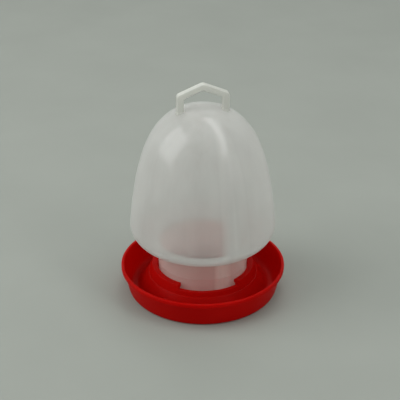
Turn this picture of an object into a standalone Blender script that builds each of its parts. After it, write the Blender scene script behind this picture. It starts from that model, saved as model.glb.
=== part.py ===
"""Poultry waterer fount: a moulded bottle with a carry loop, locked by a bayonet into a drinking tray.

Metres, +Z up. The origin is the centre of the tray's underside. The carry loop lies in the XZ plane.
"""

import math

import bmesh
import bpy
from mathutils import Vector

MM = 0.001

# Fits and facets
SEAT_GAP = 0.3 * MM
WELD = 0.00001
FACETS = 60
DOME_FACETS = 13
SHOULDER_FACETS = 7
NECK_FACETS = 3
TROUGH_FACETS = 4
BASE_FACETS = 3
LIP_FACETS = 2
HANDLE_FACETS = 2
SMOOTH_ANGLE = 35.0

# Drinking tray
TRAY_HEIGHT = 27.2 * MM
TRAY_FLARE = 7.5 * MM
TRAY_WALL = 1.5 * MM
TRAY_FLOOR = 2.6 * MM
TRAY_BASE_ROUND = 3.0 * MM
TROUGH_WIDTH = 10.0 * MM
TROUGH_ROUND = 8.0 * MM
LIP_WIDTH = 1.2 * MM
LIP_HEIGHT = 4.0 * MM
LIP_ROUND = 0.8 * MM

# Collar that holds the bottle's neck
COLLAR_WALL = 2.0 * MM
COLLAR_PLAY = 0.6 * MM
COLLAR_LAND_HEIGHT = 26.5 * MM
COLLAR_NOTCH_DEPTH = 4.0 * MM
COLLAR_STEP_HEIGHT = 17.8 * MM
COLLAR_STEP_WIDTH = 0.8 * MM
COLLAR_LEAN = 3.0 * MM
COLLAR_FOOT_SPREAD = 9.2 * MM

# Bayonet, counted round the axis from +X
BAYONET_COUNT = 2
NOTCH_CENTRE = -93.0
NOTCH_WIDTH = 69.0
LEDGE_REACH = 3.4 * MM
LEDGE_HEIGHT = 2.5 * MM
STOP_WIDTH = 3.6
STOP_REACH = 1.5 * MM
STOP_HEIGHT = 6.0 * MM
STOP_PLAY = 0.6
LUG_INSET = 4.8
LUG_WIDTH = 36.0
LUG_REACH = 3.9 * MM
LUG_HEIGHT = 3.0 * MM
LUG_PLAY = 0.4 * MM

# Rests under the mouth and water outlets through the collar's foot
REST_COUNT = 3
REST_WIDTH = 12.0
REST_DEPTH = 5.0 * MM
OUTLET_WIDTH = 14.0
OUTLET_HEIGHT = 5.0 * MM
OUTLET_SILL = 0.4 * MM

# Fount bottle
BOTTLE_WALL = 1.8 * MM
MOUTH_HEIGHT = 9.0 * MM
NECK_RADIUS = 43.5 * MM
NECK_ROUND = 4.0 * MM
NECK_BEAD_HEIGHT = 31.5 * MM
NECK_BEAD_SIZE = 0.7 * MM
SHOULDER_HEIGHT = 54.8 * MM
SHOULDER_ROUND = 18.0 * MM
DOME_RADIUS = 70.4 * MM
DOME_TOP = 191.5 * MM
DOME_TAPER = 6.0
DOME_SIDE_FULLNESS = 0.67
DOME_TOP_FULLNESS = 0.67

# Carry handle
HANDLE_WIDTH = 49.0 * MM
HANDLE_LEG = 6.4 * MM
HANDLE_DEPTH = 7.0 * MM
HANDLE_RISE = 23.4 * MM
HANDLE_ROOF = 10.3 * MM
HANDLE_BAR = 6.1 * MM
HANDLE_ROUND = 1.2 * MM
HANDLE_TAIL = 35.0 * MM

# Colours and finishes
TRAY_RED = (0.20, 0.004, 0.002)
TRAY_ROUGHNESS = 0.38
BOTTLE_MILKY = (0.42, 0.43, 0.39)
BOTTLE_ROUGHNESS = 0.32
BOTTLE_TRANSMISSION = 0.35
HANDLE_CREAM = (0.45, 0.47, 0.41)
HANDLE_ROUGHNESS = 0.36

# Places that follow from the sizes above
COLLAR_INNER = NECK_RADIUS + LUG_REACH + COLLAR_PLAY
COLLAR_OUTER = COLLAR_INNER + COLLAR_WALL
COLLAR_STEP_RADIUS = COLLAR_OUTER + COLLAR_LEAN
COLLAR_FOOT_RADIUS = COLLAR_STEP_RADIUS + COLLAR_STEP_WIDTH + COLLAR_FOOT_SPREAD
TRAY_BASE_RADIUS = COLLAR_FOOT_RADIUS + TROUGH_WIDTH
TRAY_RIM_RADIUS = TRAY_BASE_RADIUS + TRAY_FLARE
SHOULDER_FILLET = min(SHOULDER_ROUND, DOME_RADIUS - NECK_RADIUS - NECK_ROUND)
SHOULDER_X = DOME_RADIUS - SHOULDER_FILLET
SHOULDER_Z = SHOULDER_HEIGHT + SHOULDER_FILLET
LEDGE_INNER = COLLAR_INNER - LEDGE_REACH
LEDGE_BOTTOM = COLLAR_LAND_HEIGHT - LEDGE_HEIGHT
LUG_TOP = LEDGE_BOTTOM - LUG_PLAY
LUG_CENTRE = NOTCH_CENTRE - NOTCH_WIDTH / 2 - LUG_INSET - LUG_WIDTH / 2
STOP_CENTRE = LUG_CENTRE - LUG_WIDTH / 2 - STOP_PLAY - STOP_WIDTH / 2
REST_CENTRE = NOTCH_CENTRE + 180.0 / REST_COUNT


def clear_scene():
    """Removes whatever the file holds."""
    for old in list(bpy.data.objects):
        bpy.data.objects.remove(old, do_unlink=True)


def new_collection(name):
    """A collection under the scene's own."""
    made = bpy.data.collections.new(name)
    bpy.context.scene.collection.children.link(made)
    return made


def plastic(name, colour, roughness, transmission=0.0):
    """A Principled material for one moulded part."""
    made = bpy.data.materials.new(name)
    made.use_nodes = True
    shader = made.node_tree.nodes["Principled BSDF"]
    shader.inputs["Base Color"].default_value = (*colour, 1.0)
    shader.inputs["Roughness"].default_value = roughness
    shader.inputs["Metallic"].default_value = 0.0
    shader.inputs["Transmission Weight"].default_value = transmission
    return made


def arc(centre_x, centre_z, radius, start, end, count):
    """Points of a round in the XZ plane, from one angle to another in degrees."""
    points = []
    for i in range(count + 1):
        turn = math.radians(start + (end - start) * i / count)
        points.append(Vector((centre_x + radius * math.cos(turn), centre_z + radius * math.sin(turn))))
    return points


def bezier(first, first_pull, last_pull, last, count):
    """Points of a cubic curve, ends included."""
    points = []
    for i in range(count + 1):
        t = i / count
        s = 1.0 - t
        points.append(s**3 * first + 3 * s * s * t * first_pull + 3 * s * t * t * last_pull + t**3 * last)
    return points


def offset_inside(points, distance):
    """The profile moved square to itself by a wall's thickness, towards the hollow side."""
    moved = []
    for i, point in enumerate(points):
        before = points[max(i - 1, 0)]
        after = points[min(i + 1, len(points) - 1)]
        along = (after - before).normalized()
        moved.append(point + distance * Vector((along.y, -along.x)))
    return moved


def turned(name, profile, collection):
    """A solid of revolution round Z from a profile that starts and ends on the axis."""
    mesh = bpy.data.meshes.new(name)
    shape = bmesh.new()
    corners = [shape.verts.new((point.x, 0.0, point.y)) for point in profile]
    for first, second in zip(corners, corners[1:]):
        shape.edges.new((first, second))
    shape.to_mesh(mesh)
    shape.free()
    made = bpy.data.objects.new(name, mesh)
    collection.objects.link(made)
    screw = made.modifiers.new("Turn", "SCREW")
    screw.axis = "Z"
    screw.steps = FACETS
    screw.render_steps = FACETS
    screw.use_merge_vertices = True
    screw.merge_threshold = WELD
    screw.use_smooth_shade = True
    return made


def plate(name, outline, thickness, collection):
    """A flat outline in XY, thickened evenly about its plane, as a closed mesh."""
    drawn = bpy.data.curves.new(name, "CURVE")
    drawn.dimensions = "2D"
    drawn.fill_mode = "BOTH"
    drawn.extrude = thickness / 2
    spline = drawn.splines.new("POLY")
    spline.points.add(len(outline) - 1)
    for point, corner in zip(spline.points, outline):
        point.co = (corner.x, corner.y, 0.0, 1.0)
    spline.use_cyclic_u = True
    guide = bpy.data.objects.new(name + "_outline", drawn)
    collection.objects.link(guide)
    evaluated = guide.evaluated_get(bpy.context.evaluated_depsgraph_get())
    mesh = bpy.data.meshes.new_from_object(evaluated)
    bpy.data.objects.remove(guide, do_unlink=True)
    shape = bmesh.new()
    shape.from_mesh(mesh)
    bmesh.ops.remove_doubles(shape, verts=shape.verts, dist=WELD)
    bmesh.ops.recalc_face_normals(shape, faces=shape.faces)
    shape.to_mesh(mesh)
    shape.free()
    mesh.name = name
    made = bpy.data.objects.new(name, mesh)
    collection.objects.link(made)
    return made


def sector(name, inner, outer, centre, width, low, high, collection):
    """A block bent round the axis, between two radii, two angles in degrees and two heights."""
    steps = max(2, round(FACETS * width / 360.0))
    start, end = centre - width / 2, centre + width / 2
    outline = arc(0.0, 0.0, outer, start, end, steps) + arc(0.0, 0.0, inner, end, start, steps)
    made = plate(name, outline, high - low, collection)
    made.location.z = (low + high) / 2
    return made


def hide_tool(tool):
    """Marks a shape as a guide that is not part of the object."""
    tool.hide_render = True
    tool.display_type = "WIRE"


def combine(target, tool, operation):
    """Cuts the target with the tool, or joins the tool to it."""
    hide_tool(tool)
    step = target.modifiers.new(tool.name, "BOOLEAN")
    step.operation = operation
    step.solver = "EXACT"
    step.object = tool


def round_the_collar(centre, count):
    """Numbers and angles of places spread evenly round the axis."""
    return [(i + 1, centre + i * 360.0 / count) for i in range(count)]


def finish_mesh(made, material):
    """Gives a part its material and smooth shading."""
    made.data.materials.clear()
    made.data.materials.append(material)
    made.data.shade_smooth()
    made.data.set_sharp_from_angle(angle=math.radians(SMOOTH_ANGLE))


def tray_profile():
    """From the axis over the floor, the collar, the trough and the lip, and back under the base."""
    wall_top = TRAY_RIM_RADIUS - LIP_WIDTH
    lean = (wall_top - TRAY_BASE_RADIUS) / TRAY_HEIGHT
    trough_edge = TRAY_BASE_RADIUS + lean * TRAY_FLOOR - TRAY_WALL
    slope = math.atan(lean)
    setback = (1 - math.sin(slope)) / math.cos(slope)
    trough_x = trough_edge - TROUGH_ROUND * setback
    base_x = TRAY_BASE_RADIUS - TRAY_BASE_ROUND * setback
    wall_angle = -math.degrees(slope)
    rim_inside = wall_top - TRAY_WALL
    points = [
        Vector((0.0, TRAY_FLOOR)),
        Vector((COLLAR_INNER, TRAY_FLOOR)),
        Vector((COLLAR_INNER, LEDGE_BOTTOM)),
        Vector((LEDGE_INNER, LEDGE_BOTTOM)),
        Vector((LEDGE_INNER, COLLAR_LAND_HEIGHT)),
        Vector((COLLAR_OUTER, COLLAR_LAND_HEIGHT)),
        Vector((COLLAR_STEP_RADIUS, COLLAR_STEP_HEIGHT)),
        Vector((COLLAR_STEP_RADIUS + COLLAR_STEP_WIDTH, COLLAR_STEP_HEIGHT)),
        Vector((COLLAR_FOOT_RADIUS, TRAY_FLOOR)),
    ]
    lip_z = TRAY_HEIGHT - LIP_ROUND
    points += arc(trough_x, TRAY_FLOOR + TROUGH_ROUND, TROUGH_ROUND, -90.0, wall_angle, TROUGH_FACETS)
    points += arc(rim_inside + LIP_ROUND, lip_z, LIP_ROUND, 180.0, 90.0, LIP_FACETS)
    points += arc(TRAY_RIM_RADIUS - LIP_ROUND, lip_z, LIP_ROUND, 90.0, 0.0, LIP_FACETS)
    lip_bottom = TRAY_HEIGHT - LIP_HEIGHT
    points += [
        Vector((TRAY_RIM_RADIUS, lip_bottom)),
        Vector((TRAY_BASE_RADIUS + lean * lip_bottom, lip_bottom)),
    ]
    points += arc(base_x, TRAY_BASE_ROUND, TRAY_BASE_ROUND, wall_angle, -90.0, BASE_FACETS)
    points.append(Vector((0.0, 0.0)))
    return points


def make_tray(parts, tools, material):
    """The red dish with its collar, stops, notches, rests and outlets."""
    tray = turned("drinking_tray", tray_profile(), parts)
    root = COLLAR_INNER + COLLAR_WALL / 2
    floor_root = TRAY_FLOOR / 2
    mouth_middle = NECK_RADIUS - BOTTLE_WALL / 2
    notch_bottom = COLLAR_LAND_HEIGHT - COLLAR_NOTCH_DEPTH
    notch_top = COLLAR_LAND_HEIGHT + LEDGE_HEIGHT
    for i, angle in round_the_collar(STOP_CENTRE, BAYONET_COUNT):
        stop = sector(f"stop_{i}", COLLAR_INNER - STOP_REACH, root, angle, STOP_WIDTH,
                      LEDGE_BOTTOM - STOP_HEIGHT, LEDGE_BOTTOM + LEDGE_HEIGHT / 2, tools)
        combine(tray, stop, "UNION")
    for i, angle in round_the_collar(NOTCH_CENTRE, BAYONET_COUNT):
        notch = sector(f"notch_{i}", LEDGE_INNER - COLLAR_WALL, COLLAR_STEP_RADIUS + COLLAR_WALL, angle,
                       NOTCH_WIDTH, notch_bottom, notch_top, tools)
        combine(tray, notch, "DIFFERENCE")
    for i, angle in round_the_collar(REST_CENTRE, REST_COUNT):
        rest = sector(f"mouth_rest_{i}", mouth_middle - REST_DEPTH / 2, mouth_middle + REST_DEPTH / 2,
                      angle, REST_WIDTH, floor_root, MOUTH_HEIGHT - SEAT_GAP, tools)
        combine(tray, rest, "UNION")
    for i, angle in round_the_collar(NOTCH_CENTRE, REST_COUNT):
        outlet = sector(f"outlet_{i}", COLLAR_INNER - COLLAR_WALL, COLLAR_FOOT_RADIUS + COLLAR_WALL, angle,
                        OUTLET_WIDTH, TRAY_FLOOR + OUTLET_SILL, TRAY_FLOOR + OUTLET_HEIGHT, tools)
        combine(tray, outlet, "DIFFERENCE")
    finish_mesh(tray, material)
    return tray


def dome_profile(outset=0.0):
    """The outside of the dome from its top to its widest place, moved out by outset."""
    taper = math.radians(DOME_TAPER)
    start = arc(SHOULDER_X, SHOULDER_Z, SHOULDER_FILLET + outset, DOME_TAPER, DOME_TAPER, 1)[0]
    top = Vector((0.0, DOME_TOP + outset))
    upwards = Vector((-math.sin(taper), math.cos(taper)))
    side_pull = start + DOME_SIDE_FULLNESS * (top.y - start.y) * upwards
    top_pull = Vector((DOME_TOP_FULLNESS * start.x, top.y))
    return bezier(top, top_pull, side_pull, start, DOME_FACETS)


def bottle_profile():
    """The outside from the dome's top to the mouth, without the bead on the neck."""
    fillet_x = NECK_RADIUS + NECK_ROUND
    fillet_z = SHOULDER_HEIGHT - NECK_ROUND
    points = dome_profile()
    points += arc(SHOULDER_X, SHOULDER_Z, SHOULDER_FILLET, DOME_TAPER, -90.0, SHOULDER_FACETS)[1:]
    points += arc(fillet_x, fillet_z, NECK_ROUND, 90.0, 180.0, NECK_FACETS)
    points.append(Vector((NECK_RADIUS, MOUTH_HEIGHT)))
    return points


def make_bottle(parts, tools, material):
    """The translucent dome and neck in one shell, with its bead and bayonet lugs."""
    outside = bottle_profile()
    inside = offset_inside(outside, BOTTLE_WALL)
    inside[0].x = 0.0
    bead = [
        Vector((NECK_RADIUS, NECK_BEAD_HEIGHT + NECK_BEAD_SIZE)),
        Vector((NECK_RADIUS + NECK_BEAD_SIZE / 2, NECK_BEAD_HEIGHT)),
        Vector((NECK_RADIUS, NECK_BEAD_HEIGHT - NECK_BEAD_SIZE)),
    ]
    bottle = turned("fount_bottle", outside[:-1] + bead + outside[-1:] + inside[::-1], parts)
    for i, angle in round_the_collar(LUG_CENTRE, BAYONET_COUNT):
        lug = sector(f"lug_{i}", NECK_RADIUS - BOTTLE_WALL / 2, NECK_RADIUS + LUG_REACH, angle, LUG_WIDTH,
                     LUG_TOP - LUG_HEIGHT, LUG_TOP, tools)
        combine(bottle, lug, "UNION")
    finish_mesh(bottle, material)
    return bottle


def make_handle(parts, tools, material):
    """The flat five-sided loop, its feet cut to the curve of the dome."""
    half = HANDLE_WIDTH / 2
    inner_half = half - HANDLE_LEG
    apex = DOME_TOP + HANDLE_RISE
    shoulder = apex - HANDLE_ROOF
    inner_apex = apex - HANDLE_BAR
    inner_shoulder = inner_apex - HANDLE_ROOF * inner_half / half
    foot = DOME_TOP - HANDLE_TAIL
    outline = [
        Vector((-half, foot)),
        Vector((-inner_half, foot)),
        Vector((-inner_half, inner_shoulder)),
        Vector((0.0, inner_apex)),
        Vector((inner_half, inner_shoulder)),
        Vector((inner_half, foot)),
        Vector((half, foot)),
        Vector((half, shoulder)),
        Vector((0.0, apex)),
        Vector((-half, shoulder)),
    ]
    handle = plate("carry_handle", outline, HANDLE_DEPTH, parts)
    handle.rotation_euler.x = math.radians(90.0)
    edges = handle.modifiers.new("Rounded edges", "BEVEL")
    edges.width = HANDLE_ROUND
    edges.segments = HANDLE_FACETS
    edges.limit_method = "ANGLE"
    seat_profile = dome_profile(SEAT_GAP)
    seat_profile.append(Vector((0.0, seat_profile[-1].y)))
    seat = turned("crown_seat", seat_profile, tools)
    combine(handle, seat, "DIFFERENCE")
    finish_mesh(handle, material)
    return handle


def main():
    """Builds the three mouldings and hangs the bottle's two on its turning axis."""
    clear_scene()
    parts = new_collection("poultry_waterer_fount")
    tools = new_collection("guides")
    red = plastic("tray_red", TRAY_RED, TRAY_ROUGHNESS)
    milky = plastic("bottle_milky", BOTTLE_MILKY, BOTTLE_ROUGHNESS, BOTTLE_TRANSMISSION)
    cream = plastic("handle_cream", HANDLE_CREAM, HANDLE_ROUGHNESS)
    make_tray(parts, tools, red)
    bottle = make_bottle(parts, tools, milky)
    handle = make_handle(parts, tools, cream)
    axis = bpy.data.objects.new("bayonet_axis", None)
    parts.objects.link(axis)
    for piece in (bottle, handle):
        piece.parent = axis


main()
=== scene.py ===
"""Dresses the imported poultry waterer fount: fine moulded meshes, plastics, a pale studio and the camera.

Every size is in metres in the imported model's own frame, +Z up, with the bottle's axis on Z.
"""

from __future__ import annotations

import logging
import math
from dataclasses import dataclass
from enum import Enum
from typing import Callable

import bmesh
import bpy
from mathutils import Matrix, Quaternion, Vector

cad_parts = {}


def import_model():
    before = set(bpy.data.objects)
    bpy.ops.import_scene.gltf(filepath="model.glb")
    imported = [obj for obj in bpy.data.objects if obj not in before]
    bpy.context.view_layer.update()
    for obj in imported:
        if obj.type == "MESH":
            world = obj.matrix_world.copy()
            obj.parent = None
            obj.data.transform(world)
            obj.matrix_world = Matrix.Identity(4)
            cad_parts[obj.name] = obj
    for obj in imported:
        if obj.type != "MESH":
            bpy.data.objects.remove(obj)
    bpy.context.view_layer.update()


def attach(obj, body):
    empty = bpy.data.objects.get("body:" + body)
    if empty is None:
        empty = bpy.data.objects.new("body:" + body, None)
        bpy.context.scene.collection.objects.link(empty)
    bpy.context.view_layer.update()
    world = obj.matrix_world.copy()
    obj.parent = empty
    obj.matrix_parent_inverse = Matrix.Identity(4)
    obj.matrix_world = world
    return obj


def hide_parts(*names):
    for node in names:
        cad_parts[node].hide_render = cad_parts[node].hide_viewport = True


LOG = logging.getLogger("waterer")
MM = 0.001
PICTURE_SIDE = 400
MOST_OF_A_SIDE = 0.45
EDGE_PLACES = (-1.0, -0.5, 0.0, 0.5, 1.0)
EDGE_CLEARANCE = 0.3
CLOUD_LOW = 0.3
CLOUD_HIGH = 0.7
MIX_FIRST = 6
MIX_SECOND = 7
MIX_RESULT = 2

Profile = list[Vector]
Colour = tuple[int, int, int]
Scale = tuple[float, float, float]
Stops = tuple[tuple[float, float], ...]
Station = tuple[Vector, Vector, float]


class Body(Enum):
    """The two bodies that the bayonet joins."""

    TRAY = "tray"
    FOUNT = "fount"


class Node(Enum):
    """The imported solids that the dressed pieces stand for."""

    TRAY = "drinking_tray"
    BOTTLE = "fount_bottle"
    HANDLE = "carry_handle"


class Slot(Enum):
    """The record's material slots."""

    TRAY = "tray_red"
    BOTTLE = "bottle_milky"
    HANDLE = "handle_cream"


class Maths(Enum):
    """What the finishes do with two values, by Blender's names."""

    TIMES = "MULTIPLY"
    MINUS = "SUBTRACT"
    LARGER = "MAXIMUM"
    ANGLE = "ARCTAN2"


def linear(red: int, green: int, blue: int) -> tuple[float, float, float, float]:
    """Turns a colour given as it looks on screen into the shader's linear numbers.

    Args:
        red: Red from 0 to 255.
        green: Green from 0 to 255.
        blue: Blue from 0 to 255.

    Returns:
        The linear colour, with an alpha of 1.
    """

    def one(value: int) -> float:
        """Undoes the screen's curve for one channel."""
        share = value / 255.0
        return share / 12.92 if share <= 0.04045 else ((share + 0.055) / 1.055) ** 2.4

    return (one(red), one(green), one(blue), 1.0)


def ease(value: float) -> float:
    """A smooth step from 0 to 1."""
    value = min(max(value, 0.0), 1.0)
    return value * value * (3.0 - 2.0 * value)


def arc(centre: Vector, radius: float, start: float, end: float, count: int) -> Profile:
    """Points of a round in a profile's plane.

    Args:
        centre: The round's centre, as distance from the axis and height.
        radius: Its radius.
        start: The first angle in degrees.
        end: The last angle in degrees.
        count: The number of steps between them.

    Returns:
        The points, both ends included.
    """
    turns = [math.radians(start + (end - start) * i / count) for i in range(count + 1)]
    return [centre + radius * Vector((math.cos(turn), math.sin(turn))) for turn in turns]


def bezier(first: Vector, first_pull: Vector, last_pull: Vector, last: Vector, count: int) -> Profile:
    """Points of a cubic curve.

    Args:
        first: The curve's start.
        first_pull: The handle that it leaves towards.
        last_pull: The handle that it arrives from.
        last: The curve's end.
        count: The number of steps.

    Returns:
        The points, both ends included.
    """
    points = []
    for i in range(count + 1):
        t = i / count
        s = 1.0 - t
        points.append(s**3 * first + 3 * s * s * t * first_pull + 3 * s * t * t * last_pull + t**3 * last)
    return points


def soften(corners: list[tuple[float, float, float]], steps: int = 4) -> Profile:
    """Rounds the corners of an outline.

    Args:
        corners: Distance from the axis, height and rounding of each corner. No rounding keeps it sharp.
        steps: The steps of each rounded corner.

    Returns:
        The outline's points. Their number depends only on which corners are rounded.
    """
    points: Profile = []
    for i, (x, z, rounding) in enumerate(corners):
        corner = Vector((x, z))
        if not rounding:
            points.append(corner)
            continue
        before = Vector(corners[i - 1][:2])
        after = Vector(corners[(i + 1) % len(corners)][:2])
        back, on = before - corner, after - corner
        enter = corner + back.normalized() * min(rounding, MOST_OF_A_SIDE * back.length)
        leave = corner + on.normalized() * min(rounding, MOST_OF_A_SIDE * on.length)
        for k in range(steps + 1):
            t = k / steps
            points.append((1 - t) ** 2 * enter + 2 * t * (1 - t) * corner + t * t * leave)
    return points


def offset_inside(points: Profile, distance: float) -> Profile:
    """Moves a profile square to itself towards its hollow side.

    Args:
        points: A profile that runs from the axis down its outer side.
        distance: How far to move it.

    Returns:
        The moved points.
    """
    moved = []
    for i, point in enumerate(points):
        along = (points[min(i + 1, len(points) - 1)] - points[max(i - 1, 0)]).normalized()
        moved.append(point + distance * Vector((along.y, -along.x)))
    return moved


def lofted(name: str, angles: list[float], profile_at: Callable[[float], Profile]) -> bpy.types.Object:
    """Makes a closed round piece whose profile may change round the axis.

    Args:
        name: The piece's name.
        angles: Where the profile is taken, in degrees, rising through one turn.
        profile_at: Gives the profile at an angle. It starts and ends on the axis.

    Returns:
        The linked mesh object.
    """
    shape = bmesh.new()
    ends: list[bmesh.types.BMVert] = []
    rings: list[list[bmesh.types.BMVert]] = []
    for angle in angles:
        points = profile_at(angle)
        turn = math.radians(angle)
        if not ends:
            ends = [shape.verts.new((0.0, 0.0, point.y)) for point in (points[0], points[-1])]
        ring = [
            shape.verts.new((point.x * math.cos(turn), point.x * math.sin(turn), point.y))
            for point in points[1:-1]
        ]
        rings.append(ring)
    for ring, after in zip(rings, rings[1:] + rings[:1]):
        shape.faces.new((ends[0], ring[0], after[0]))
        for i in range(len(ring) - 1):
            shape.faces.new((ring[i], ring[i + 1], after[i + 1], after[i]))
        shape.faces.new((ring[-1], ends[1], after[-1]))
    bmesh.ops.recalc_face_normals(shape, faces=shape.faces)
    return linked(name, shape)


def linked(name: str, shape: bmesh.types.BMesh) -> bpy.types.Object:
    """Turns a finished shape into a smooth object in the scene.

    Args:
        name: The object's name.
        shape: The shape, which is freed.

    Returns:
        The object.
    """
    mesh = bpy.data.meshes.new(name)
    shape.to_mesh(mesh)
    shape.free()
    mesh.shade_smooth()
    made = bpy.data.objects.new(name, mesh)
    bpy.context.scene.collection.objects.link(made)
    return made


def angles_round(steps: int, edges: list[float], reach: float) -> list[float]:
    """Evenly spread angles, with more of them at the edges of what changes round the axis.

    Args:
        steps: The even steps in a turn.
        edges: The angles in degrees where something begins or ends.
        reach: How far the change reaches to each side of an edge, in degrees.

    Returns:
        The rising angles of one turn.
    """
    pitch = 360.0 / steps
    close = [(edge + reach * place) % 360.0 for edge in edges for place in EDGE_PLACES]
    clear = reach + EDGE_CLEARANCE * pitch

    def near_edge(angle: float) -> bool:
        """True if an even step lies too close to an edge's own steps."""
        return any(abs((angle - edge + 180.0) % 360.0 - 180.0) < clear for edge in edges)

    return sorted(close + [i * pitch for i in range(steps) if not near_edge(i * pitch)])


def spans(angle: float, centre: float, width: float, pitch: float, reach: float) -> float:
    """How far an angle lies inside a feature that repeats round the axis.

    Args:
        angle: The angle in degrees.
        centre: The middle of one copy.
        width: The copy's width.
        pitch: The angle from copy to copy.
        reach: Half the width over which its edge rises.

    Returns:
        1 inside, 0 outside, and a smooth step at the edges.
    """
    away = abs((angle - centre + pitch / 2) % pitch - pitch / 2)
    return 1.0 - ease((away - width / 2 + reach) / (2 * reach))


@dataclass(frozen=True)
class Relief:
    """A cloudy pattern that raises a finish.

    Attributes:
        scale: Its repeats per metre along X, Y and Z.
        detail: How many finer layers it has.
        depth: Its full height.
        show: How much of it shows.
    """

    scale: Scale
    detail: float
    depth: float
    show: float


class Nodes:
    """Short calls for building a material's node tree."""

    def __init__(self, name: str) -> None:
        """Starts an empty material.

        Args:
            name: The material's name.
        """
        self.material = bpy.data.materials.new(name)
        self.material.use_nodes = True
        self.tree = self.material.node_tree
        self.tree.nodes.clear()
        self.output = self.tree.nodes.new("ShaderNodeOutputMaterial")

    def add(self, kind: str, **inputs: object) -> bpy.types.Node:
        """Adds a node.

        Args:
            kind: Blender's name for the node.
            **inputs: Socket names, with spaces as underscores, and a socket to link from or a value.

        Returns:
            The node.
        """
        node = self.tree.nodes.new(kind)
        for name, value in inputs.items():
            self.feed(node.inputs[name.replace("_", " ")], value)
        return node

    def feed(self, socket: bpy.types.NodeSocket, value: object) -> None:
        """Links a socket to another one, or sets its value.

        Args:
            socket: The input to fill.
            value: An output socket to link from, or a plain value.
        """
        if isinstance(value, bpy.types.NodeSocket):
            self.tree.links.new(value, socket)
        else:
            socket.default_value = value

    def place(self, scale: Scale) -> bpy.types.NodeSocket:
        """The piece's own coordinates, stretched.

        Args:
            scale: Repeats per metre along X, Y and Z.

        Returns:
            The vector socket.
        """
        where = self.add("ShaderNodeTexCoord")
        mapping = self.add("ShaderNodeMapping", Vector=where.outputs["Object"])
        mapping.inputs["Scale"].default_value = scale
        return mapping.outputs["Vector"]

    def noise(self, scale: Scale, detail: float = 3.0) -> bpy.types.NodeSocket:
        """A cloudy pattern from 0 to 1.

        Args:
            scale: Repeats per metre along X, Y and Z.
            detail: How many finer layers it has.

        Returns:
            The value socket.
        """
        node = self.add("ShaderNodeTexNoise", Vector=self.place(scale), Scale=1.0, Detail=detail)
        return node.outputs["Fac"]

    def between(self, value: bpy.types.NodeSocket, low: float, high: float) -> bpy.types.NodeSocket:
        """Stretches the middle of a cloudy pattern over a range.

        Args:
            value: The pattern.
            low: The result at the low end of the middle.
            high: The result at its high end.

        Returns:
            The value socket.
        """
        node = self.add("ShaderNodeMapRange", Value=value, From_Min=CLOUD_LOW, From_Max=CLOUD_HIGH,
                        To_Min=low, To_Max=high)
        return node.outputs["Result"]

    def maths(self, operation: Maths, first: object, second: object) -> bpy.types.NodeSocket:
        """Works out one value from two.

        Args:
            operation: What is done with them.
            first: The first value or its socket.
            second: The second value or its socket.

        Returns:
            The value socket.
        """
        node = self.tree.nodes.new("ShaderNodeMath")
        node.operation = operation.value
        self.feed(node.inputs[0], first)
        self.feed(node.inputs[1], second)
        return node.outputs["Value"]

    def ramp(self, value: bpy.types.NodeSocket, stops: Stops) -> bpy.types.NodeSocket:
        """Turns a value into another one, in straight lines from stop to stop.

        Args:
            value: The value that goes in.
            stops: Rising values of it, each with the result there.

        Returns:
            The result's socket.
        """
        first, last = stops[0][0], stops[-1][0]
        share = self.add("ShaderNodeMapRange", Value=value, From_Min=first, From_Max=last)
        node = self.add("ShaderNodeValToRGB", Fac=share.outputs["Result"])
        marks = node.color_ramp.elements
        while len(marks) < len(stops):
            marks.new(0.5)
        for mark, (stop, result) in zip(marks, stops):
            mark.position = (stop - first) / (last - first)
            mark.color = (result, result, result, 1.0)
        return node.outputs["Color"]

    def along_height(self, stops: Stops) -> bpy.types.NodeSocket:
        """A value that changes with the piece's own height.

        Args:
            stops: Rising heights, each with the value there.

        Returns:
            The value socket.
        """
        where = self.add("ShaderNodeSeparateXYZ", Vector=self.place((1.0, 1.0, 1.0)))
        return self.ramp(where.outputs["Z"], stops)

    def round_axis(self, stops: Stops) -> bpy.types.NodeSocket:
        """A value that changes round the piece's own axis.

        Args:
            stops: Rising directions in degrees, from the front to the right, each with the value there.

        Returns:
            The value socket.
        """
        where = self.add("ShaderNodeSeparateXYZ", Vector=self.place((1.0, -1.0, 1.0)))
        angle = self.maths(Maths.ANGLE, where.outputs["X"], where.outputs["Y"])
        return self.ramp(angle, tuple((math.radians(turn), value) for turn, value in stops))

    def blend(self, share: object, first: object, second: object) -> bpy.types.NodeSocket:
        """Mixes two colours.

        Args:
            share: How much of the second, as a socket or a number.
            first: The first colour or its socket.
            second: The second colour or its socket.

        Returns:
            The colour socket.
        """
        node = self.tree.nodes.new("ShaderNodeMix")
        node.data_type = "RGBA"
        self.feed(node.inputs["Factor"], share)
        self.feed(node.inputs[MIX_FIRST], first)
        self.feed(node.inputs[MIX_SECOND], second)
        return node.outputs[MIX_RESULT]

    def raised(self, relief: Relief, under: bpy.types.NodeSocket | None = None) -> bpy.types.NodeSocket:
        """Raises the surface by a pattern.

        Args:
            relief: The pattern.
            under: The normal of another pattern that it lies on.

        Returns:
            The normal socket.
        """
        node = self.add("ShaderNodeBump", Height=self.noise(relief.scale, relief.detail),
                        Distance=relief.depth, Strength=relief.show)
        if under is not None:
            self.feed(node.inputs["Normal"], under)
        return node.outputs["Normal"]

    def mix(self, share: object, first: bpy.types.Node, second: bpy.types.Node) -> bpy.types.Node:
        """Mixes two shaders.

        Args:
            share: How much of the second, as a socket or a number.
            first: The first shader's node.
            second: The second shader's node.

        Returns:
            The mixing node.
        """
        node = self.add("ShaderNodeMixShader", Fac=share)
        self.feed(node.inputs[1], first.outputs[0])
        self.feed(node.inputs[2], second.outputs[0])
        return node

    def finish(self, surface: bpy.types.Node) -> bpy.types.Material:
        """Sets the surface shader and returns the material."""
        self.tree.links.new(surface.outputs[0], self.output.inputs["Surface"])
        return self.material


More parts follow.
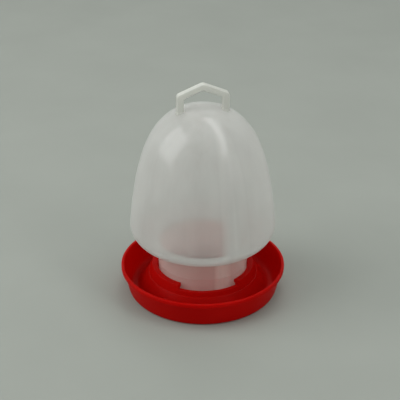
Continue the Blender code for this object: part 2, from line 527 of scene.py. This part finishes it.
@dataclass(frozen=True)
class Plastic:
    """A moulded plastic whose skin lets some light through.

    Attributes:
        name: The material's name.
        colour: The skin's colour.
        glow: The colour of the light that comes through.
        through: How much comes through.
        shine: How strongly the skin reflects.
        ior: The skin's index of refraction.
        gloss_low: The roughness where it is glossiest.
        gloss_high: The roughness where it is dullest.
    """

    name: str
    colour: Colour
    glow: Colour
    through: float
    shine: float
    ior: float
    gloss_low: float
    gloss_high: float

    def moulded(self, nodes: Nodes, base: object, glow: object, rough: bpy.types.NodeSocket,
                normal: bpy.types.NodeSocket) -> bpy.types.Node:
        """Mixes the skin with the light that comes through it.

        Args:
            nodes: The material's nodes.
            base: The skin's colour or its socket.
            glow: The colour of the light that comes through, or its socket.
            rough: The skin's roughness.
            normal: The skin's normal.

        Returns:
            The mixing node.
        """
        skin = nodes.add("ShaderNodeBsdfPrincipled", Base_Color=base, Roughness=rough, Normal=normal,
                         Specular_IOR_Level=self.shine, IOR=self.ior)
        behind = nodes.add("ShaderNodeBsdfTranslucent", Color=glow, Normal=normal)
        return nodes.mix(self.through, skin, behind)


@dataclass(frozen=True)
class RedPolypropylene(Plastic):
    """Injection-moulded red plastic with a soft gloss, light scuffs and a little light coming through."""

    name: str = Slot.TRAY.value
    colour: Colour = (187, 9, 5)
    glow: Colour = (235, 14, 7)
    through: float = 0.50
    shine: float = 0.08
    ior: float = 1.5
    gloss_low: float = 0.30
    gloss_high: float = 0.44
    worn: Colour = (193, 15, 9)
    cloud_scale: Scale = (45.0, 45.0, 45.0)
    scuff_scale: Scale = (420.0, 60.0, 420.0)
    scuff_detail: float = 4.0
    grain: Relief = Relief(scale=(1400.0, 1400.0, 1400.0), detail=2.0, depth=0.04 * MM, show=0.35)
    sinks: Relief = Relief(scale=(38.0, 38.0, 38.0), detail=1.0, depth=0.4 * MM, show=0.18)

    def make(self) -> bpy.types.Material:
        """Builds the material.

        Returns:
            The red plastic.
        """
        nodes = Nodes(self.name)
        cloud = nodes.between(nodes.noise(self.cloud_scale), 0.0, 1.0)
        base = nodes.blend(cloud, linear(*self.colour), linear(*self.worn))
        scuffs = nodes.noise(self.scuff_scale, self.scuff_detail)
        rough = nodes.between(scuffs, self.gloss_low, self.gloss_high)
        normal = nodes.raised(self.sinks, under=nodes.raised(self.grain))
        return nodes.finish(self.moulded(nodes, base, linear(*self.glow), rough, normal))


@dataclass(frozen=True)
class Polyethylene(Plastic):
    """A pale plastic with faint upright streaks from its drawing and soft waves.

    Attributes:
        streak: The colour of the streaks.
        gloss_scale: The repeats per metre of the gloss's clouds.
        streaks: The streaks' relief.
        waves: The waves' relief.
    """

    streak: Colour
    gloss_scale: Scale = (60.0, 60.0, 25.0)
    streaks: Relief = Relief(scale=(210.0, 210.0, 5.0), detail=3.0, depth=0.3 * MM, show=0.05)
    waves: Relief = Relief(scale=(32.0, 32.0, 20.0), detail=1.0, depth=1.2 * MM, show=0.10)

    def streaked(self, nodes: Nodes) -> bpy.types.NodeSocket:
        """The skin's colour with its streaks.

        Args:
            nodes: The material's nodes.

        Returns:
            The colour socket.
        """
        share = nodes.between(nodes.noise(self.streaks.scale, self.streaks.detail), 0.0, 1.0)
        return nodes.blend(share, linear(*self.colour), linear(*self.streak))

    def drawn(self, nodes: Nodes, base: object, glow: object) -> bpy.types.Node:
        """The plastic with its gloss, streaks and waves.

        Args:
            nodes: The material's nodes.
            base: The skin's colour or its socket.
            glow: The colour of the light that comes through, or its socket.

        Returns:
            The shader's node.
        """
        rough = nodes.between(nodes.noise(self.gloss_scale), self.gloss_low, self.gloss_high)
        normal = nodes.raised(self.waves, under=nodes.raised(self.streaks))
        return self.moulded(nodes, base, glow, rough, normal)


@dataclass(frozen=True)
class MilkyPolyethylene(Polyethylene):
    """Blow-moulded milky plastic: half clear, with faint draw streaks and bands.

    The wall is thicker, and so milkier, at the shoulder. One upright stripe right of the front is paler and
    less
    clear. The neck has painted red light: a pinkish tint low down that stands in for the red collar's light.
    """

    name: str = Slot.BOTTLE.value
    colour: Colour = (206, 207, 204)
    glow: Colour = (239, 239, 237)
    through: float = 0.50
    shine: float = 1.0
    ior: float = 1.6
    gloss_low: float = 0.15
    gloss_high: float = 0.22
    streak: Colour = (194, 194, 190)
    # The paler tone that the random bands and the upright stripe blend towards.
    paler_tone: Colour = (221, 222, 219)
    # Painted red light: the pinkish tint that stands in for the red collar's light on the neck, and the
    # heights where it fades out.
    painted_red_bounce: Colour = (241, 224, 218)
    painted_red_bounce_at: Stops = ((48.0 * MM, 1.0), (55.0 * MM, 0.0))
    clear_at: Stops = (
        (46.0 * MM, 0.58), (53.0 * MM, 0.12), (61.0 * MM, 0.14), (70.0 * MM, 0.66), (100.0 * MM, 0.64),
        (150.0 * MM, 0.58),
    )
    # Where the upright stripe lies round the axis, and the heights where it fades out towards the crown.
    stripe_round: Stops = (
        (-50.0, 0.15), (-22.0, 0.09), (-12.0, 0.02), (4.0, 0.02), (10.0, 0.50), (16.0, 0.80), (21.0, 0.60),
        (29.0, 0.15),
    )
    stripe_at: Stops = ((110.0 * MM, 1.0), (185.0 * MM, 0.0))
    band_scale: Scale = (52.0, 52.0, 2.0)
    band_detail: float = 1.0
    band_most: float = 0.9

    def make(self) -> bpy.types.Material:
        """Builds the material.

        Returns:
            The milky plastic.
        """
        nodes = Nodes(self.name)
        # The upright stripe right of the front, fading out towards the crown: its skin is paler here and
        # less clear below.
        stripe = nodes.maths(Maths.TIMES, nodes.round_axis(self.stripe_round),
                             nodes.along_height(self.stripe_at))
        bands = nodes.between(nodes.noise(self.band_scale, self.band_detail), 0.0, self.band_most)
        paler_share = nodes.maths(Maths.LARGER, bands, stripe)
        wall = nodes.blend(paler_share, self.streaked(nodes), linear(*self.paler_tone))
        # Painted red light: the skin and the glow turn pinkish at the neck's foot, standing in for the red
        # collar's light.
        low = nodes.along_height(self.painted_red_bounce_at)
        base = nodes.blend(low, wall, linear(*self.painted_red_bounce))
        glow = nodes.blend(low, linear(*self.glow), linear(*self.painted_red_bounce))
        window = nodes.add("ShaderNodeBsdfTransparent")
        thin = nodes.maths(Maths.MINUS, 1.0, stripe)
        clear = nodes.maths(Maths.TIMES, nodes.along_height(self.clear_at), thin)
        return nodes.finish(nodes.mix(clear, self.drawn(nodes, base, glow), window))


@dataclass(frozen=True)
class CreamPolyethylene(Polyethylene):
    """Solid plastic of the bottle's kind, a little creamier, which only glows."""

    name: str = Slot.HANDLE.value
    colour: Colour = (221, 222, 217)
    glow: Colour = (240, 240, 235)
    through: float = 0.48
    shine: float = 0.4
    ior: float = 1.5
    gloss_low: float = 0.15
    gloss_high: float = 0.22
    streak: Colour = (217, 218, 213)

    def make(self) -> bpy.types.Material:
        """Builds the material.

        Returns:
            The creamy plastic.
        """
        nodes = Nodes(self.name)
        return nodes.finish(self.drawn(nodes, self.streaked(nodes), linear(*self.glow)))


@dataclass(frozen=True)
class PaleFloor:
    """A plain matt studio sheet."""

    name: str = "pale_floor"
    colour: Colour = (142, 146, 140)
    paler: Colour = (145, 149, 143)
    roughness: float = 0.9
    shine: float = 0.1
    cloud_scale: Scale = (9.0, 9.0, 9.0)

    def make(self) -> bpy.types.Material:
        """Builds the material.

        Returns:
            The floor's finish.
        """
        nodes = Nodes(self.name)
        cloud = nodes.between(nodes.noise(self.cloud_scale), 0.0, 1.0)
        base = nodes.blend(cloud, linear(*self.colour), linear(*self.paler))
        sheet = nodes.add("ShaderNodeBsdfPrincipled", Base_Color=base, Roughness=self.roughness,
                          Specular_IOR_Level=self.shine)
        return nodes.finish(sheet)


@dataclass
class DrinkingTray:
    """The red dish with the stepped collar that takes the bottle's neck."""

    base_radius: float = 73.0 * MM
    rim_radius: float = 80.5 * MM
    height: float = 27.2 * MM
    wall: float = 1.5 * MM
    floor: float = 2.6 * MM
    base_round: float = 3.6 * MM
    trough_round: float = 9.0 * MM
    lip_width: float = 1.2 * MM
    lip_height: float = 4.0 * MM
    lip_round: float = 0.9 * MM
    collar_inner: float = 48.0 * MM
    collar_outer: float = 50.0 * MM
    land_height: float = 26.5 * MM
    notch_height: float = 22.5 * MM
    step_height: float = 17.8 * MM
    step_radius: float = 53.0 * MM
    step_width: float = 0.8 * MM
    foot_radius: float = 63.0 * MM
    foot_round: float = 2.5 * MM
    edge_round: float = 0.5 * MM
    ledge_reach: float = 3.4 * MM
    ledge_height: float = 2.5 * MM
    ledge_least: float = 1.2 * MM
    stop_reach: float = 1.5 * MM
    stop_height: float = 6.0 * MM
    rest_inner: float = 40.1 * MM
    rest_outer: float = 45.1 * MM
    rest_height: float = 8.7 * MM
    outlet_width: float = 14.0
    outlet_height: float = 5.0 * MM
    outlet_sill: float = 0.4 * MM
    outlet_margin: float = 4.0 * MM
    bayonet_count: int = 2
    rest_count: int = 3
    notch_centre: float = -93.0
    notch_width: float = 69.0
    stop_centre: float = -170.7
    stop_width: float = 3.6
    rest_width: float = 12.0
    edge_reach: float = 0.55
    sliver: float = 0.2 * MM
    crease: float = 40.0
    steps: int = 240

    @property
    def pitch(self) -> float:
        """The angle from one bayonet place to the next."""
        return 360.0 / self.bayonet_count

    @property
    def rest_pitch(self) -> float:
        """The angle from one mouth rest to the next."""
        return 360.0 / self.rest_count

    @property
    def rest_centre(self) -> float:
        """The middle of one mouth rest, half way between two outlets."""
        return self.notch_centre + self.rest_pitch / 2

    def edges(self) -> list[float]:
        """The angles where a notch, a stop or a rest begins or ends.

        Returns:
            The angles in degrees.
        """
        features = (
            (self.notch_centre, self.notch_width, self.bayonet_count),
            (self.stop_centre, self.stop_width, self.bayonet_count),
            (self.rest_centre, self.rest_width, self.rest_count),
        )
        return [
            centre + side * width / 2 + i * 360.0 / count
            for centre, width, count in features
            for side in (-1, 1)
            for i in range(count)
        ]

    def profile(self, angle: float) -> Profile:
        """The section from the floor's middle over the collar, trough and lip, and back under the base.

        Args:
            angle: Where the section is taken, in degrees.

        Returns:
            The section's points.
        """
        reach = self.edge_reach
        land = 1.0 - spans(angle, self.notch_centre, self.notch_width, self.pitch, reach)
        stop = spans(angle, self.stop_centre, self.stop_width, self.pitch, reach)
        rest = spans(angle, self.rest_centre, self.rest_width, self.rest_pitch, reach)
        top = self.notch_height + land * (self.land_height - self.notch_height)
        ledge = self.collar_inner - self.ledge_reach * land
        ledge_bottom = min(self.land_height - self.ledge_height, top - self.ledge_least)
        stop_low = self.land_height - self.ledge_height - self.stop_height
        stop_in = self.collar_inner - self.stop_reach * stop
        raised = self.floor + rest * (self.rest_height - self.floor)
        flank = (self.step_radius - self.collar_outer) / (self.land_height - self.step_height)
        sliver = self.sliver
        soft = self.edge_round
        wall_top = self.rim_radius - self.lip_width
        lean = (wall_top - self.base_radius) / self.height
        lip_bottom = self.height - self.lip_height
        corners = [
            (0.0, self.floor, 0.0),
            (self.rest_inner - sliver, self.floor, 0.0),
            (self.rest_inner, raised, 0.0),
            (self.rest_outer, raised, 0.0),
            (self.rest_outer + sliver, self.floor, 0.0),
            (self.collar_inner, self.floor, soft),
            (self.collar_inner, stop_low, 0.0),
            (stop_in, stop_low + sliver, 0.0),
            (stop_in, ledge_bottom - sliver, 0.0),
            (ledge, ledge_bottom, 0.0),
            (ledge, top, soft),
            (self.step_radius - flank * (top - self.step_height), top, soft),
            (self.step_radius, self.step_height, soft),
            (self.step_radius + self.step_width, self.step_height, soft),
            (self.foot_radius, self.floor, self.foot_round),
            (self.base_radius + lean * self.floor - self.wall, self.floor, self.trough_round),
            (wall_top - self.wall, self.height, self.lip_round),
            (self.rim_radius, self.height, self.lip_round),
            (self.rim_radius, lip_bottom, soft),
            (self.base_radius + lean * lip_bottom, lip_bottom, soft),
            (self.base_radius, 0.0, self.base_round),
            (0.0, 0.0, 0.0),
        ]
        return soften(corners)

    def outlet(self, angle: float) -> bpy.types.Object:
        """A tool that opens one water outlet through the collar's foot.

        Args:
            angle: The outlet's middle, in degrees.

        Returns:
            The tool's object.
        """
        shape = bmesh.new()
        bmesh.ops.create_cube(shape, size=1.0)
        tool = linked("outlet_tool", shape)
        middle = (self.collar_inner + self.foot_radius) / 2
        turn = math.radians(angle)
        tool.location = (middle * math.cos(turn), middle * math.sin(turn),
                         self.floor + (self.outlet_sill + self.outlet_height) / 2)
        tool.rotation_euler.z = turn
        tool.scale = (self.foot_radius - self.collar_inner + 2 * self.outlet_margin,
                      middle * math.radians(self.outlet_width),
                      self.outlet_height - self.outlet_sill)
        return tool

    def build(self, finish: bpy.types.Material) -> bpy.types.Object:
        """Makes the tray and dresses it.

        Args:
            finish: The red plastic.

        Returns:
            The piece.
        """
        angles = angles_round(self.steps, self.edges(), self.edge_reach)
        tray = lofted("tray_moulding", angles, self.profile)
        tools = [self.outlet(self.notch_centre + i * self.rest_pitch) for i in range(self.rest_count)]
        for tool in tools:
            cut = tray.modifiers.new("outlet", "BOOLEAN")
            cut.operation = "DIFFERENCE"
            cut.solver = "EXACT"
            cut.object = tool
        applied(tray)
        for tool in tools:
            bpy.data.objects.remove(tool, do_unlink=True)
        tray.data.set_sharp_from_angle(angle=math.radians(self.crease))
        tray.modifiers.new("even shading", "WEIGHTED_NORMAL").keep_sharp = True
        dress(tray, finish, Body.TRAY, Node.TRAY)
        return tray


@dataclass(frozen=True)
class Wave:
    """One slow wave of a blown wall.

    Attributes:
        count: How often it repeats round the axis.
        start: Where it starts, in radians.
        twist: How far it turns from the tray to the crown, in radians.
        share: Its size beside the other waves.
    """

    count: int
    start: float
    twist: float
    share: float


@dataclass
class FountBottle:
    """The milky dome and neck in one shell, with bayonet lugs at its mouth."""

    wall: float = 1.8 * MM
    mouth_height: float = 9.0 * MM
    neck_radius: float = 43.5 * MM
    neck_round: float = 4.0 * MM
    bead_height: float = 31.5 * MM
    bead_size: float = 0.7 * MM
    shoulder_height: float = 54.8 * MM
    shoulder_round: float = 18.0 * MM
    dome_radius: float = 70.4 * MM
    dome_top: float = 191.5 * MM
    dome_taper: float = 6.0
    side_fullness: float = 0.67
    top_fullness: float = 0.67
    lug_centre: float = -150.3
    lug_width: float = 36.0
    lug_reach: float = 3.9 * MM
    lug_height: float = 3.0 * MM
    lug_top: float = 23.6 * MM
    lug_round: float = 0.4 * MM
    lug_count: int = 2
    edge_reach: float = 0.6
    sliver: float = 0.15 * MM
    waver: float = 0.10 * MM
    waves: tuple[Wave, ...] = (
        Wave(count=2, start=1.3, twist=2.0, share=1.0),
        Wave(count=5, start=0.0, twist=7.0, share=0.6),
    )
    still_radius: float = 8.0 * MM
    seam: float = 0.12 * MM
    seam_width: float = 0.7
    seam_pitch: float = 180.0
    crease: float = 45.0
    steps: int = 240
    dome_steps: int = 56
    shoulder_steps: int = 20
    neck_steps: int = 8

    def shoulder_centre(self) -> Vector:
        """The centre of the round that turns the dome under."""
        return Vector((self.dome_radius - self.shoulder_round, self.shoulder_height + self.shoulder_round))

    def dome(self) -> Profile:
        """The outside from the crown to the widest place.

        Returns:
            The profile's points.
        """
        taper = math.radians(self.dome_taper)
        start = arc(self.shoulder_centre(), self.shoulder_round, self.dome_taper, self.dome_taper, 1)[0]
        top = Vector((0.0, self.dome_top))
        rise = self.side_fullness * (top.y - start.y)
        top_pull = Vector((self.top_fullness * start.x, top.y))
        side_pull = start + rise * Vector((-math.sin(taper), math.cos(taper)))
        return bezier(top, top_pull, side_pull, start, self.dome_steps)

    def crown_height(self, distance: float) -> float:
        """Finds the dome's height at a distance from the axis.

        Args:
            distance: The distance, up to the widest place.

        Returns:
            The height of the outside there.
        """
        points = self.dome()
        for upper, lower in zip(points, points[1:]):
            if lower.x >= distance:
                share = (distance - upper.x) / (lower.x - upper.x)
                return upper.y + share * (lower.y - upper.y)
        return points[-1].y

    def outside(self) -> Profile:
        """The plain outside from the crown to the foot of the neck's round.

        Returns:
            The profile's points.
        """
        neck_centre = Vector((self.neck_radius + self.neck_round, self.shoulder_height - self.neck_round))
        shoulder = arc(self.shoulder_centre(), self.shoulder_round, self.dome_taper, -90.0,
                       self.shoulder_steps)
        neck = arc(neck_centre, self.neck_round, 90.0, 180.0, self.neck_steps)
        return self.dome() + shoulder[1:] + neck

    def ripple(self, angle: float, height: float) -> float:
        """The small unevenness of a blown wall, with its two mould seams.

        Args:
            angle: Where, in degrees round the axis.
            height: Where, above the tray's underside.

        Returns:
            How far the wall stands out there.
        """
        turn = math.radians(angle)
        lift = height / self.dome_top
        soft = sum(
            wave.share * math.sin(wave.count * turn + wave.start + wave.twist * lift)
            for wave in self.waves
        )
        half = self.seam_pitch / 2
        away = abs((angle + half) % self.seam_pitch - half)
        seam = self.seam * (1.0 - ease(away / self.seam_width))
        return self.waver * soft * math.sin(math.pi * lift) + seam

    def profile(self, angle: float) -> Profile:
        """The section from the crown down the outside to the mouth and up the inside.

        Args:
            angle: Where the section is taken, in degrees.

        Returns:
            The section's points.
        """
        lug = spans(angle, self.lug_centre, self.lug_width, 360.0 / self.lug_count, self.edge_reach)
        neck = self.neck_radius
        lug_out = neck + self.lug_reach * lug
        sliver = self.sliver
        shell = self.outside()
        for point in shell[1:]:
            point.x += self.ripple(angle, point.y) * ease(point.x / self.still_radius)
        neck_top = shell[-1].y
        lower = [
            (neck, neck_top, 0.0),
            (neck, self.bead_height + self.bead_size, 0.0),
            (neck + self.bead_size / 2, self.bead_height, self.bead_size / 2),
            (neck, self.bead_height - self.bead_size, 0.0),
            (neck, self.lug_top + sliver, 0.0),
            (lug_out, self.lug_top, self.lug_round),
            (lug_out, self.lug_top - self.lug_height, self.lug_round),
            (neck, self.lug_top - self.lug_height - sliver, 0.0),
            (neck, self.mouth_height, self.lug_round),
            (neck - self.wall, self.mouth_height, self.lug_round),
            (neck - self.wall, neck_top, 0.0),
        ]
        inside = offset_inside(self.outside(), self.wall)
        inside[0].x = 0.0
        return shell[:-1] + soften(lower)[:-1] + inside[::-1]

    def edges(self) -> list[float]:
        """The angles where a lug or a seam begins or ends.

        Returns:
            The angles in degrees.
        """
        lugs = [
            self.lug_centre + side * self.lug_width / 2 + i * 360.0 / self.lug_count
            for i in range(self.lug_count)
            for side in (-1, 1)
        ]
        return lugs + [0.0, self.seam_pitch]

    def build(self, finish: bpy.types.Material) -> bpy.types.Object:
        """Makes the bottle and dresses it.

        Args:
            finish: The milky plastic.

        Returns:
            The piece.
        """
        angles = angles_round(self.steps, self.edges(), self.edge_reach)
        bottle = lofted("bottle_shell", angles, self.profile)
        bottle.data.set_sharp_from_angle(angle=math.radians(self.crease))
        dress(bottle, finish, Body.FOUNT, Node.BOTTLE)
        return bottle


@dataclass
class CarryHandle:
    """The flat five-sided loop on the crown."""

    crown: FountBottle
    width: float = 49.0 * MM
    leg: float = 6.4 * MM
    depth: float = 7.0 * MM
    rise: float = 23.4 * MM
    roof: float = 10.3 * MM
    bar: float = 6.1 * MM
    section_round: float = 1.3 * MM
    bend_outside: float = 2.6 * MM
    bend_inside: float = 2.0 * MM
    flare: float = 0.7 * MM
    flare_height: float = 3.0 * MM
    sunk: float = 0.7 * MM
    crease: float = 50.0
    leg_steps: int = 14
    bend_steps: int = 6

    def leg_stations(self, shoulder_out: Vector, shoulder_in: Vector) -> list[Station]:
        """The right leg from its foot on the dome to just under its shoulder.

        Args:
            shoulder_out: Where the straight outer side ends.
            shoulder_in: Where the straight inner side ends.

        Returns:
            The outer point, the inner point and the half depth of each station.
        """
        stations = []
        straight = shoulder_out.y - self.crown.crown_height(shoulder_out.x)
        for i in range(self.leg_steps):
            share = i / self.leg_steps
            flare = self.flare * (1.0 - min(share * straight / self.flare_height, 1.0)) ** 2
            ends = []
            for shoulder, side in ((shoulder_out, 1.0), (shoulder_in, -1.0)):
                reach = shoulder.x + side * flare
                foot = self.crown.crown_height(shoulder.x + side * self.flare) - self.sunk
                ends.append(Vector((reach, foot + share * (shoulder.y - foot))))
            stations.append((ends[0], ends[1], self.depth / 2 + flare))
        return stations

    def roof_line(self, half: float, shoulder: float, apex: float, bend: float) -> Profile:
        """The loop's outer or inner line over the roof, from shoulder to shoulder.

        Args:
            half: Half the line's width.
            shoulder: The height of its shoulders.
            apex: The height of its peak.
            bend: The rounding of its three bends.

        Returns:
            The line's points from right to left.
        """
        foot = self.crown.dome_top
        corners = [(half, foot, 0.0), (half, shoulder, bend), (0.0, apex, bend), (-half, shoulder, bend),
                   (-half, foot, 0.0)]
        return soften(corners, self.bend_steps)[1:-1]

    def stations(self) -> list[Station]:
        """The whole loop from the right foot over the roof to the left foot.

        Returns:
            The outer point, the inner point and the half depth of each station.
        """
        half = self.width / 2
        inner = half - self.leg
        apex = self.crown.dome_top + self.rise
        inner_apex = apex - self.bar
        outside = self.roof_line(half, apex - self.roof, apex, self.bend_outside)
        inside = self.roof_line(inner, inner_apex - self.roof * inner / half, inner_apex, self.bend_inside)
        roof = [(out, into, self.depth / 2) for out, into in zip(outside, inside)]
        right = self.leg_stations(outside[0], inside[0])
        left = [(mirrored(out), mirrored(into), depth) for out, into, depth in reversed(right)]
        return right + roof + left

    def section(self, out: Vector, into: Vector, half_depth: float) -> list[Vector]:
        """A rounded box between the loop's outer and inner side.

        Args:
            out: The outer side's point, as X and Z.
            into: The inner side's point.
            half_depth: Half the loop's depth there.

        Returns:
            The section's points in space.
        """
        across = out - into
        half = across.length / 2
        middle = (out + into) / 2
        along = across.normalized()
        box = [(half, -half_depth, self.section_round), (half, half_depth, self.section_round),
               (-half, half_depth, self.section_round), (-half, -half_depth, self.section_round)]
        return [
            Vector((middle.x + along.x * point.x, point.y, middle.y + along.y * point.x))
            for point in soften(box)
        ]

    def build(self, finish: bpy.types.Material) -> bpy.types.Object:
        """Makes the loop and dresses it.

        Args:
            finish: The creamier plastic.

        Returns:
            The piece.
        """
        shape = bmesh.new()
        rings = [[shape.verts.new(point) for point in self.section(*station)] for station in self.stations()]
        for ring, after in zip(rings, rings[1:]):
            for i in range(len(ring)):
                k = (i + 1) % len(ring)
                shape.faces.new((ring[i], ring[k], after[k], after[i]))
        for end in (rings[0], rings[-1]):
            shape.faces.new(end)
        bmesh.ops.recalc_face_normals(shape, faces=shape.faces)
        handle = linked("carry_loop", shape)
        handle.data.set_sharp_from_angle(angle=math.radians(self.crease))
        handle.modifiers.new("even shading", "WEIGHTED_NORMAL").keep_sharp = True
        dress(handle, finish, Body.FOUNT, Node.HANDLE)
        return handle


def direction(azimuth: float, elevation: float) -> Vector:
    """Where something stands, as seen from the object.

    Args:
        azimuth: Its direction in degrees, from the front to the right.
        elevation: Its height above the horizon in degrees.

    Returns:
        The direction, of length 1.
    """
    turn, rise = math.radians(azimuth), math.radians(elevation)
    return Vector((math.sin(turn) * math.cos(rise), -math.cos(turn) * math.cos(rise), math.sin(rise)))


def mirrored(point: Vector) -> Vector:
    """The same point on the other side of the axis."""
    return Vector((-point.x, point.y))


def applied(made: bpy.types.Object) -> None:
    """Replaces an object's mesh by what its modifiers make of it.

    Args:
        made: The object, whose modifiers are removed.
    """
    evaluated = made.evaluated_get(bpy.context.evaluated_depsgraph_get())
    mesh = bpy.data.meshes.new_from_object(evaluated)
    made.modifiers.clear()
    made.data = mesh
    mesh.shade_smooth()


def dress(made: bpy.types.Object, finish: bpy.types.Material, body: Body, node: Node) -> None:
    """Gives a piece its finish and tells the frame what it is.

    Args:
        made: The piece.
        finish: Its material.
        body: The body that it moves with.
        node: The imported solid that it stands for.
    """
    made.data.materials.clear()
    made.data.materials.append(finish)
    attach(made, body.value)
    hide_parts(node.value)


@dataclass(frozen=True)
class Softbox:
    """One soft lamp that faces the object.

    Attributes:
        name: The lamp's name.
        azimuth: Its direction round the object in degrees, from the front to the right.
        elevation: Its height above the horizon in degrees.
        distance: How far it stands from the object's middle.
        width: Its width.
        height: Its height.
        power: Its power in watts.
        roll: How far it is turned about the line to the object, in degrees.
    """

    name: str
    azimuth: float
    elevation: float
    distance: float
    width: float
    height: float
    power: float
    roll: float = 0.0

    def hang(self, aim: Vector) -> None:
        """Puts the lamp in the scene.

        Args:
            aim: The point that it faces.
        """
        light = bpy.data.lights.new(self.name, "AREA")
        light.shape = "RECTANGLE"
        light.size, light.size_y = self.width, self.height
        light.energy = self.power
        made = bpy.data.objects.new(self.name, light)
        bpy.context.scene.collection.objects.link(made)
        towards = direction(self.azimuth, self.elevation)
        facing = towards.to_track_quat("Z", "Y") @ Quaternion((0.0, 0.0, 1.0), math.radians(self.roll))
        made.location = aim + self.distance * towards
        made.rotation_euler = facing.to_euler()


@dataclass
class Studio:
    """The pale floor, the soft lamps and the even light round them."""

    floor_side: float = 9.0
    floor_drop: float = 0.05 * MM
    air_colour: Colour = (236, 240, 236)
    ambient: float = 0.55
    aim_height: float = 110.0 * MM
    lamps: tuple[Softbox, ...] = (
        Softbox("left_softbox", azimuth=-92.0, elevation=36.0, distance=2.2,
                width=1.7, height=1.9, power=31.0),
        Softbox("right_strip", azimuth=78.0, elevation=65.0, distance=2.2,
                width=0.52, height=4.4, power=29.0, roll=-56.0),
        Softbox("top_softbox", azimuth=-30.0, elevation=78.0, distance=2.2,
                width=1.8, height=1.8, power=7.0),
        Softbox("back_softbox", azimuth=174.0, elevation=42.0, distance=2.4,
                width=1.4, height=0.8, power=3.5),
    )

    def floor(self) -> None:
        """Lays the floor just under the tray."""
        shape = bmesh.new()
        bmesh.ops.create_grid(shape, x_segments=1, y_segments=1, size=self.floor_side / 2)
        sheet = linked("studio_floor", shape)
        sheet.location.z = -self.floor_drop
        sheet.data.materials.append(PaleFloor().make())

    def build(self) -> None:
        """Sets up the floor, the lamps and the world."""
        self.floor()
        for lamp in self.lamps:
            lamp.hang(Vector((0.0, 0.0, self.aim_height)))
        world = bpy.data.worlds.new("studio_air")
        bpy.context.scene.world = world
        world.use_nodes = True
        air = world.node_tree.nodes["Background"]
        air.inputs["Color"].default_value = linear(*self.air_colour)
        air.inputs["Strength"].default_value = self.ambient


@dataclass
class PhotoCamera:
    """The camera at the photograph's place, measured from the object's outlines."""

    azimuth: float = -10.0
    elevation: float = 27.5
    distance: float = 1.0
    aim_height: float = 95.0 * MM
    focal_pixels: float = 1040.0
    axis_right_of_centre: float = 2.8
    sensor: float = 36.0
    nearest: float = 10.0 * MM

    def build(self) -> None:
        """Makes the camera and gives it to the scene."""
        back = direction(self.azimuth, self.elevation)
        right = direction(self.azimuth + 90.0, 0.0)
        aside = self.axis_right_of_centre * self.distance / self.focal_pixels
        data = bpy.data.cameras.new("photo_camera")
        data.sensor_width = self.sensor
        data.lens = self.focal_pixels / PICTURE_SIDE * self.sensor
        data.clip_start = self.nearest
        made = bpy.data.objects.new("photo_camera", data)
        bpy.context.scene.collection.objects.link(made)
        made.location = Vector((0.0, 0.0, self.aim_height)) + self.distance * back - aside * right
        made.rotation_euler = back.to_track_quat("Z", "Y").to_euler()
        bpy.context.scene.camera = made


def main() -> None:
    """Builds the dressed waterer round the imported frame."""
    logging.basicConfig(level=logging.INFO, format="%(name)s: %(message)s")
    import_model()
    bpy.context.scene.view_settings.view_transform = "Standard"
    bottle = FountBottle()
    pieces = [
        DrinkingTray().build(RedPolypropylene().make()),
        bottle.build(MilkyPolyethylene().make()),
        CarryHandle(bottle).build(CreamPolyethylene().make()),
    ]
    for piece in pieces:
        LOG.info("%s: %d faces", piece.name, len(piece.data.polygons))
    Studio().build()
    PhotoCamera().build()


if __name__ == "__main__":
    main()
